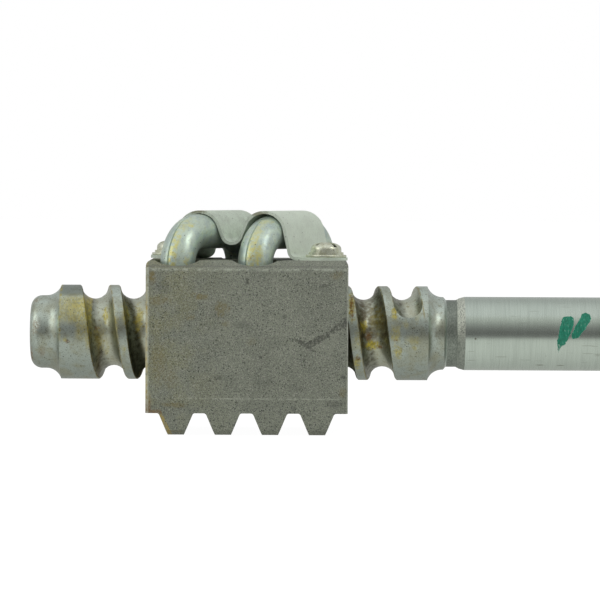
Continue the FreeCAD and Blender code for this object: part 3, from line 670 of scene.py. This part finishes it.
def tube_finish(look):
    """Blue-grey zinc, yellow passivation beside the seams of the front legs, small dark pits."""
    m = Finish("tube_zinc")
    cloud = m.noise(2.6, 4, 0.6, shift=2)
    fine = m.noise(0.4, 3, 0.6, shift=8)
    blotch = m.noise(1.2, 4, 0.65, shift=27)
    colour = m.mix(m.times(m.step(cloud, 0.40, 0.62), 0.55), look.zinc, srgb(164, 182, 184))
    colour = m.mix(m.times(m.step(blotch, 0.52, 0.66), 0.40), colour, srgb(206, 212, 168))
    colour = m.mix(m.times(m.step(fine, 0.56, 0.68), 0.35), colour, srgb(124, 134, 126))
    colour = m.mix(m.times(m.step(fine, 0.42, 0.34), 0.35), colour, srgb(226, 234, 222))
    # Distance from each tube's seam plane, for the yellow band beside the seam.
    across_x, across_y = TUBE_SEAM_NORMAL
    bands = []
    for leg_x, leg_y in TUBE_LEGS:
        off = m.add(m.times(m.add(m.x, -leg_x), across_x), m.times(m.add(m.y, -leg_y), across_y))
        bands.append(m.times(m.between(off, -2.3, -0.1, 0.35), m.step(off, -7.0, -6.0)))
    band = m.times(m.most(*bands), m.step(m.y, -8.0, -12.0), m.step(blotch, 0.36, 0.56))
    band = m.times(band, m.step(m.z, 30.0, 24.0, 0.45, 1.0))
    patch = m.blots([
        (44.6, -16.6, 21.8, 0.9, 1.4, 0.95), (42.6, -17.4, 19.6, 0.8, 1.6, 0.7),
        (43.9, -13.6, 29.4, 1.6, 0.8, 0.85), (46.0, -12.6, 30.6, 1.6, 0.6, 0.7),
        (61.8, -17.6, 21.2, 1.2, 3.6, 0.85), (65.4, -12.0, 30.4, 1.2, 0.7, 0.5),
        (57.2, 16.0, 25.0, 2.0, 3.0, 0.5), (78.0, 16.0, 24.0, 2.0, 3.0, 0.5),
    ], ragged=0.55, size=1.0)
    yellow = m.most(m.times(patch, 0.9), m.times(band, 0.75))
    yellow = m.times(yellow, m.step(m.noise(0.6, 3, 0.6, shift=18), 0.26, 0.50))
    colour = m.mix(yellow, colour, srgb(216, 210, 122))
    brown = m.times(m.between(m.z, 18.0, 22.5, 1.0), band, 0.7)
    brown = m.times(brown, m.step(m.noise(0.5, 3, 0.6, shift=58), 0.52, 0.62))
    colour = m.mix(brown, colour, srgb(150, 132, 92))
    dots = m.most(m.dots(2.0, 9, 0.05, 0.10), m.dots(2.9, 29, 0.05, 0.09))
    colour = m.mix(m.times(dots, 0.75), colour, srgb(62, 66, 56))
    rough = m.add(0.22, m.times(cloud, 0.14), m.times(fine, 0.10))
    height = m.add(m.times(fine, 0.5), cloud, m.times(blotch, 0.5))
    return m.finish(colour, rough, m.bump(height, 0.22, 0.07), 0.66)


class SHAFT_OT_strap(bpy.types.Operator):
    """Finish the strap: dull brushed zinc, browned along its cut edges"""
    bl_idname = "steering.strap"
    bl_label = "Strap finish"

    def execute(self, context):
        look = context.scene.steering_shaft
        dress(["tube_strap"], strap_finish(look))
        return {"FINISHED"}


def strap_finish(look):
    """Dull zinc sheet, brushed across its bends."""
    m = Finish("strap_zinc")
    brushed = m.noise(0.22, 3, 0.6, stretch=(1.5, 1.0, 9), shift=2)
    cloud = m.noise(3.0, 3, 0.5, shift=12)
    fine = m.noise(0.35, 2, 0.6, shift=6)
    colour = m.mix(m.times(m.step(brushed, 0.42, 0.62), 0.4), look.strap, dark(look.strap, 0.72))
    colour = m.mix(m.times(m.step(cloud, 0.42, 0.66), 0.35), colour, srgb(176, 184, 170))
    colour = m.mix(m.times(m.step(fine, 0.58, 0.70), 0.4), colour, srgb(116, 120, 106))
    # Painted light: the strap lighter from x 58 mm towards its right end.
    colour = m.mix(m.times(m.step(m.x, 58.0, 66.0), 0.45), colour, srgb(230, 240, 224))
    specks = m.most(m.dots(2.4, 11, 0.04, 0.08), m.dots(3.1, 43, 0.04, 0.08))
    colour = m.mix(m.times(specks, 0.7), colour, srgb(74, 76, 64))
    edge = m.blots([
        (45.0, -4.8, 33.0, 3.4, 0.8, 1.0), (41.0, -4.0, 30.6, 1.5, 1.4, 0.9),
        (62.0, -8.6, 32.4, 3.0, 0.9, 1.0), (49.0, -5.8, 30.5, 0.8, 1.4, 0.4),
    ], ragged=0.4, size=0.8)
    colour = m.mix(m.times(edge, 0.6), colour, srgb(120, 110, 70))
    rough = m.add(0.36, m.times(brushed, 0.18))
    return m.finish(colour, rough, m.bump(brushed, 0.22, 0.03), 0.6)


class SHAFT_OT_fasteners(bpy.types.Operator):
    """Finish the strap screws and washers, the wheel nut and its washers"""
    bl_idname = "steering.fasteners"
    bl_label = "Fastener finish"

    def execute(self, context):
        bright = zinc_finish("screw_zinc", srgb(222, 226, 206), 0.22, True)
        dress(named(("strap_screw", "plain_washer", "spring_washer")), bright)
        plain = zinc_finish("wheel_nut_steel", srgb(176, 182, 176), 0.30)
        dress(named("wheel_"), plain)
        return {"FINISHED"}


def zinc_finish(name, tint, rough, recess=False):
    """Bright plated steel with yellow clouds and tool marks, and painted shade inside the screws'
    recesses.
    """
    m = Finish(name)
    cloud = m.noise(1.1, 4, 0.6, shift=3)
    fine = m.noise(0.25, 3, 0.6, shift=10)
    yellow = m.mix(0.5, dark(tint, 0.8), srgb(178, 176, 112))
    colour = m.mix(m.times(m.step(cloud, 0.44, 0.62), 0.55), tint, yellow)
    colour = m.mix(m.times(m.step(fine, 0.55, 0.68), 0.5), colour, dark(tint, 0.35))
    if recess:
        for (cx, cy), _turn in SCREWS.values():
            ax, ay = m.add(m.x, -cx), m.add(m.y, -cy)
            out = m.math("SQRT", m.add(m.times(ax, ax), m.times(ay, ay)))
            share = m.math("POWER", m.math("DIVIDE", out, HEAD_R, clamp=True), HEAD_CURVE)
            dome = m.math("POWER", m.math("SUBTRACT", 1.0, share, clamp=True), 1 / HEAD_CURVE)
            crown = m.add(SCREW_SEAT_Z + HEAD_RIM, m.times(dome, HEAD_H - HEAD_RIM))
            below = m.math("SUBTRACT", crown, m.z)
            inside = m.times(m.step(below, 0.14, 0.40), m.step(out, HEAD_R - 0.11, HEAD_R - 0.19))
            inside = m.times(inside, m.step(m.z, SCREW_SEAT_Z + 0.25, SCREW_SEAT_Z + 0.45))
            # Painted shade inside the recess.
            colour = m.mix(m.times(inside, 0.85), colour, srgb(66, 68, 56))
    bump = m.bump(m.add(fine, cloud), 0.25, 0.04)
    return m.finish(colour, m.add(rough, m.times(fine, 0.14)), bump, 0.8)


class SHAFT_OT_screws(bpy.types.Operator):
    """Model the strap screws: domed head with a cross recess on a chamfered shank"""
    bl_idname = "steering.screws"
    bl_label = "Strap screws"

    def execute(self, context):
        first = model_screw()
        material = NODES["strap_screw_front"].material_slots[0].material
        for name, (at, turn) in SCREWS.items():
            deselect()
            first.select_set(True)
            context.view_layer.objects.active = first
            bpy.ops.object.duplicate(linked=False)
            screw = context.object
            screw.name = "screw_" + name
            screw.location = (at[0] * MM, at[1] * MM, SCREW_SEAT_Z * MM)
            screw.rotation_euler = (0, 0, math.radians(turn))
            bpy.ops.object.transform_apply(location=True, rotation=True, scale=True)
            screw.data.materials.clear()
            screw.data.materials.append(material)
            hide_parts("strap_screw_" + name)
            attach(screw, "nut_unit")
        bpy.data.objects.remove(first)
        return {"FINISHED"}


def pick(test):
    """In edit mode, selects just the faces whose centre and normal pass the test."""
    obj = bpy.context.edit_object
    mesh = bmesh.from_edit_mesh(obj.data)
    for face in mesh.faces:
        face.select_set(False)
    found = [face for face in mesh.faces if test(face.calc_center_median(), face.normal)]
    if not found:
        raise RuntimeError("no face was picked on " + obj.name)
    for face in found:
        face.select_set(True)
    mesh.select_flush_mode()
    bmesh.update_edit_mesh(obj.data)


def raise_ring(up, share):
    """Extrudes the selected face along Z by up millimetres and scales it about the Z axis."""
    bpy.ops.mesh.extrude_region_move(TRANSFORM_OT_translate={"value": (0, 0, up * MM)})
    bpy.ops.transform.resize(value=(share, share, 1), center_override=(0, 0, 0))


def model_screw():
    """One screw with its head's seat at the origin."""
    deselect()
    bpy.ops.mesh.primitive_cylinder_add(
        vertices=96, radius=HEAD_R * MM, depth=HEAD_RIM * MM, location=(0, 0, HEAD_RIM * MM / 2))
    screw = bpy.context.object
    screw.name = "screw_blank"
    bpy.ops.object.transform_apply(location=True, rotation=True, scale=True)
    bpy.ops.object.mode_set(mode="EDIT")
    bpy.ops.mesh.select_mode(type="FACE")
    pick(lambda c, n: n.z > 0.9)
    last_r, last_z = HEAD_R, HEAD_RIM
    for r in HEAD_RINGS:
        dome = (1 - (r / HEAD_R) ** HEAD_CURVE) ** (1 / HEAD_CURVE)
        z = HEAD_RIM + (HEAD_H - HEAD_RIM) * dome
        raise_ring(z - last_z, r / last_r)
        last_r, last_z = r, z
    pick(lambda c, n: n.z < -0.9 and c.z < 0.01 * MM)
    raise_ring(0, SHANK_R / HEAD_R)
    raise_ring(SHANK_CHAMFER - SHANK_LEN, 1)
    raise_ring(-SHANK_CHAMFER, (SHANK_R - SHANK_CHAMFER) / SHANK_R)
    bpy.ops.mesh.select_all(action="SELECT")
    bpy.ops.mesh.normals_make_consistent(inside=False)
    bpy.ops.object.mode_set(mode="OBJECT")
    for turn, across in zip((0, 90), RECESS_WINGS):
        cut_slot(screw, turn, across)
    deselect()
    screw.select_set(True)
    bpy.context.view_layer.objects.active = screw
    bpy.ops.object.shade_smooth_by_angle(angle=math.radians(32))
    return screw


def cut_slot(screw, turn, across):
    """Cuts one tapered wing pair of the cross recess, across millimetres long at the top."""
    over = 0.6
    middle = HEAD_H + (over - RECESS_DEPTH) / 2
    size = (across * MM, RECESS_WIDTH * MM, (RECESS_DEPTH + over) * MM)
    deselect()
    bpy.ops.mesh.primitive_cube_add(size=1, location=(0, 0, middle * MM), scale=size)
    cutter = bpy.context.object
    bpy.ops.object.transform_apply(location=True, rotation=True, scale=True)
    bpy.ops.object.mode_set(mode="EDIT")
    pick(lambda c, n: n.z < -0.9)
    bpy.ops.transform.resize(value=(0.97, 0.66, 1), center_override=(0, 0, 0))
    bpy.ops.object.mode_set(mode="OBJECT")
    cutter.rotation_euler = (0, 0, math.radians(turn))
    deselect()
    screw.select_set(True)
    bpy.context.view_layer.objects.active = screw
    cut = screw.modifiers.new("recess", "BOOLEAN")
    cut.operation = "DIFFERENCE"
    cut.object = cutter
    bpy.ops.object.modifier_apply(modifier=cut.name)
    bpy.data.objects.remove(cutter)


class SHAFT_OT_balls(bpy.types.Operator):
    """Finish the bearing balls: polished steel with a trace of oil"""
    bl_idname = "steering.balls"
    bl_label = "Ball finish"

    def execute(self, context):
        m = Finish("ball_steel")
        cloud = m.noise(1.5, 3, 0.6)
        colour = m.mix(m.times(m.step(cloud, 0.5, 0.7), 0.4), srgb(200, 202, 204), srgb(160, 150, 96))
        rough = m.add(0.08, m.times(cloud, 0.1))
        polished = m.finish(colour, rough, m.bump(m.noise(0.2, 2, 0.6), 0.05, 0.02))
        dress(named(("ball_lower", "ball_upper", "return_balls")), polished)
        return {"FINISHED"}


# Stage, in metres and degrees
CAMERA_X = 0.07303
CAMERA_Z = 0.044
CAMERA_PITCH = 2.01
CAMERA_ROLL = 0.28

# Lamps: name, place, point looked at, width, power, seen in metal
LAMPS = (
    ("lamp_left", (-0.45, -0.75, 0.70), (0.07, 0, 0), 0.5, 4.2, False),
    ("lamp_right", (0.70, -0.60, 0.60), (0.09, 0, 0), 0.52, 2.2, True),
    ("lamp_back", (0.1, 0.7, 0.8), (0.07, 0, 0), 0.8, 3.5, False),
)

# Cards: name, centre, width, height, turn, and brightness from the bottom to the top
CARDS = (
    ("card_front", (0.1, -0.60, 0.435), 3.6, 0.93, 0,
     ((0.03, 0.15), (0.11, 0.16), (0.27, 0.25), (0.42, 0.36), (0.62, 0.52), (1.0, 0.66))),
    ("card_left", (-0.45, -0.22, 0.27), 0.50, 0.46, 90,
     ((0.0, 0.70), (0.25, 1.5), (0.75, 1.5), (1.0, 0.9))),
)

# Floor: brightness that metal mirrors, from 1.8 m in front to 1.8 m behind; the dip under and just behind
# the object is a painted shadow of it that only metal mirrors.
FLOOR_GLOW_AND_SHADOW = (
    (0.0, 0.15), (0.455, 0.20), (0.470, 0.72), (0.494, 0.72),
    (0.502, 0.52), (0.515, 0.50), (0.54, 0.62), (1.0, 0.62),
)


class SHAFT_OT_stage(bpy.types.Operator):
    """Set the world, the floor, the reflecting cards, the lamps and the camera"""
    bl_idname = "steering.stage"
    bl_label = "Studio"

    def execute(self, context):
        look = context.scene.steering_shaft
        scene = context.scene
        scene.view_settings.view_transform = "Standard"
        white_world(scene)
        lay_floor()
        for card in CARDS:
            hang_card(*card)
        for lamp in LAMPS:
            hang_lamp(*lamp)
        set_camera(look)
        return {"FINISHED"}


def white_world(scene):
    """White to the camera, a plain grey for diffuse light, a soft sky for reflections."""
    world = bpy.data.worlds.new("studio")
    scene.world = world
    world.use_nodes = True
    tree = world.node_tree
    back = tree.nodes["Background"]
    path = tree.nodes.new("ShaderNodeLightPath")
    coords = tree.nodes.new("ShaderNodeTexCoord")
    toward = tree.nodes.new("ShaderNodeVectorMath")
    toward.operation = "DOT_PRODUCT"
    toward.inputs[1].default_value = (-0.20, -0.45, 0.87)
    tree.links.new(coords.outputs["Generated"], toward.inputs[0])
    sky = tree.nodes.new("ShaderNodeMapRange")
    sky.interpolation_type = "SMOOTHSTEP"
    for name, value in (("From Min", 0.35), ("From Max", 0.98), ("To Min", 0.52), ("To Max", 0.74)):
        sky.inputs[name].default_value = value
    tree.links.new(toward.outputs["Value"], sky.inputs["Value"])
    shiny = tree.nodes.new("ShaderNodeMix")
    tree.links.new(path.outputs["Is Glossy Ray"], shiny.inputs[0])
    shiny.inputs[2].default_value = 0.50
    tree.links.new(sky.outputs[0], shiny.inputs[3])
    seen = tree.nodes.new("ShaderNodeMix")
    tree.links.new(path.outputs["Is Camera Ray"], seen.inputs[0])
    tree.links.new(shiny.outputs[0], seen.inputs[2])
    seen.inputs[3].default_value = 1.0
    back.inputs["Color"].default_value = (1, 1, 1, 1)
    tree.links.new(seen.outputs[0], back.inputs["Strength"])


def glow_material(name, stops, low, high, axis):
    """Emission whose level follows one axis of Object space from low to high."""
    mat = bpy.data.materials.new(name)
    mat.use_nodes = True
    tree = mat.node_tree
    tree.nodes.remove(tree.nodes["Principled BSDF"])
    glow = tree.nodes.new("ShaderNodeEmission")
    coords = tree.nodes.new("ShaderNodeTexCoord")
    split = tree.nodes.new("ShaderNodeSeparateXYZ")
    ramp = tree.nodes.new("ShaderNodeValToRGB")
    place = tree.nodes.new("ShaderNodeMapRange")
    place.inputs["From Min"].default_value = low
    place.inputs["From Max"].default_value = high
    tree.links.new(coords.outputs["Object"], split.inputs[0])
    tree.links.new(split.outputs[axis], place.inputs["Value"])
    tree.links.new(place.outputs[0], ramp.inputs[0])
    while len(ramp.color_ramp.elements) < len(stops):
        ramp.color_ramp.elements.new(0.5)
    for element, (where, level) in zip(ramp.color_ramp.elements, stops):
        element.position = where
        element.color = (level, level * (0.97 if level < 0.3 else 1.0), level * 0.96, 1)
    tree.links.new(ramp.outputs[0], glow.inputs[0])
    tree.links.new(glow.outputs[0], tree.nodes["Material Output"].inputs["Surface"])
    return mat


def lay_floor():
    """Pale floor under the rack teeth; white to the camera apart from the shadow on it."""
    low = CAD_BOX[0][2]
    deselect()
    bpy.ops.mesh.primitive_plane_add(size=6, location=(0.1, 1.2, low - 0.0004))
    floor = bpy.context.object
    floor.name = "floor"
    bpy.ops.object.transform_apply(location=True, rotation=True, scale=True)
    # The table ends a hand's width in front of the object, so metal mirrors dark beyond it.
    mat = glow_material("floor_white", FLOOR_GLOW_AND_SHADOW, -1.8, 1.8, 1)
    tree = mat.node_tree
    glow = tree.nodes["Emission"]
    shader = tree.nodes.new("ShaderNodeBsdfDiffuse")
    shader.inputs["Color"].default_value = (0.80, 0.80, 0.80, 1)
    white = tree.nodes.new("ShaderNodeEmission")
    white.inputs["Strength"].default_value = 1.09
    path = tree.nodes.new("ShaderNodeLightPath")
    output = tree.nodes["Material Output"]
    mirrored = tree.nodes.new("ShaderNodeMixShader")
    tree.links.new(path.outputs["Is Glossy Ray"], mirrored.inputs[0])
    tree.links.new(shader.outputs[0], mirrored.inputs[1])
    tree.links.new(glow.outputs[0], mirrored.inputs[2])
    share = tree.nodes.new("ShaderNodeMath")
    share.operation = "MULTIPLY"
    share.inputs[1].default_value = 0.9
    tree.links.new(path.outputs["Is Camera Ray"], share.inputs[0])
    both = tree.nodes.new("ShaderNodeMixShader")
    tree.links.new(share.outputs[0], both.inputs[0])
    tree.links.new(mirrored.outputs[0], both.inputs[1])
    tree.links.new(white.outputs[0], both.inputs[2])
    tree.links.new(both.outputs[0], output.inputs["Surface"])
    floor.data.materials.append(mat)


def hang_card(name, centre, across, high, turn, stops):
    """One upright graded card that only metal mirrors."""
    deselect()
    bpy.ops.mesh.primitive_plane_add(size=1, rotation=(math.radians(90), 0, math.radians(turn)))
    card = bpy.context.object
    card.name = name
    card.scale = (across, high, 1)
    bpy.ops.object.transform_apply(location=True, rotation=True, scale=True)
    card.location = centre
    bpy.ops.object.transform_apply(location=True, rotation=False, scale=False)
    mat = glow_material(name + "_glow", stops, centre[2] - high / 2, centre[2] + high / 2, 2)
    card.data.materials.append(mat)
    card.visible_camera = False
    card.visible_diffuse = False
    card.visible_shadow = False


def hang_lamp(name, place, aim, size, power, mirrored):
    """One square soft lamp that looks at a point."""
    data = bpy.data.lights.new(name, "AREA")
    data.shape = "SQUARE"
    data.size = size
    data.energy = power
    lamp = bpy.data.objects.new(name, data)
    bpy.context.scene.collection.objects.link(lamp)
    lamp.location = place
    way = Vector(aim) - Vector(place)
    lamp.rotation_euler = way.to_track_quat("-Z", "Y").to_euler()
    lamp.visible_glossy = mirrored


def set_camera(look):
    """Camera level with the shaft, a little above it, as in the photograph."""
    data = bpy.data.cameras.new("camera")
    data.sensor_width = 36
    data.lens = look.lens
    camera = bpy.data.objects.new("camera", data)
    bpy.context.scene.collection.objects.link(camera)
    tilt = Matrix.Rotation(math.radians(90 - CAMERA_PITCH), 4, "X")
    roll = Matrix.Rotation(math.radians(CAMERA_ROLL), 4, "Z")
    camera.matrix_world = Matrix.Translation((CAMERA_X, -look.distance, CAMERA_Z)) @ tilt @ roll
    bpy.context.scene.camera = camera


# Panel and registration
class SHAFT_PT_panel(bpy.types.Panel):
    """Lists the shaft's pieces and its settings"""
    bl_label = "Steering Shaft"
    bl_idname = "SHAFT_PT_panel"
    bl_space_type = "VIEW_3D"
    bl_region_type = "UI"
    bl_category = "Steering Shaft"

    def draw(self, context):
        look = context.scene.steering_shaft
        for name in ShaftLook.__annotations__:
            self.layout.prop(look, name)
        for operator in OPERATORS:
            self.layout.operator(operator.bl_idname)


OPERATORS = (
    SHAFT_OT_worm, SHAFT_OT_nut, SHAFT_OT_tubes, SHAFT_OT_strap,
    SHAFT_OT_fasteners, SHAFT_OT_screws, SHAFT_OT_balls, SHAFT_OT_stage,
)
CLASSES = (ShaftLook,) + OPERATORS + (SHAFT_PT_panel,)


def register():
    for cls in CLASSES:
        bpy.utils.register_class(cls)
    bpy.types.Scene.steering_shaft = PointerProperty(type=ShaftLook)


def unregister():
    del bpy.types.Scene.steering_shaft
    for cls in reversed(CLASSES):
        bpy.utils.unregister_class(cls)


def main():
    register()
    bpy.ops.steering.worm()
    bpy.ops.steering.nut()
    bpy.ops.steering.tubes()
    bpy.ops.steering.strap()
    bpy.ops.steering.fasteners()
    bpy.ops.steering.screws()
    bpy.ops.steering.balls()
    bpy.ops.steering.stage()


if __name__ == "__main__":
    main()
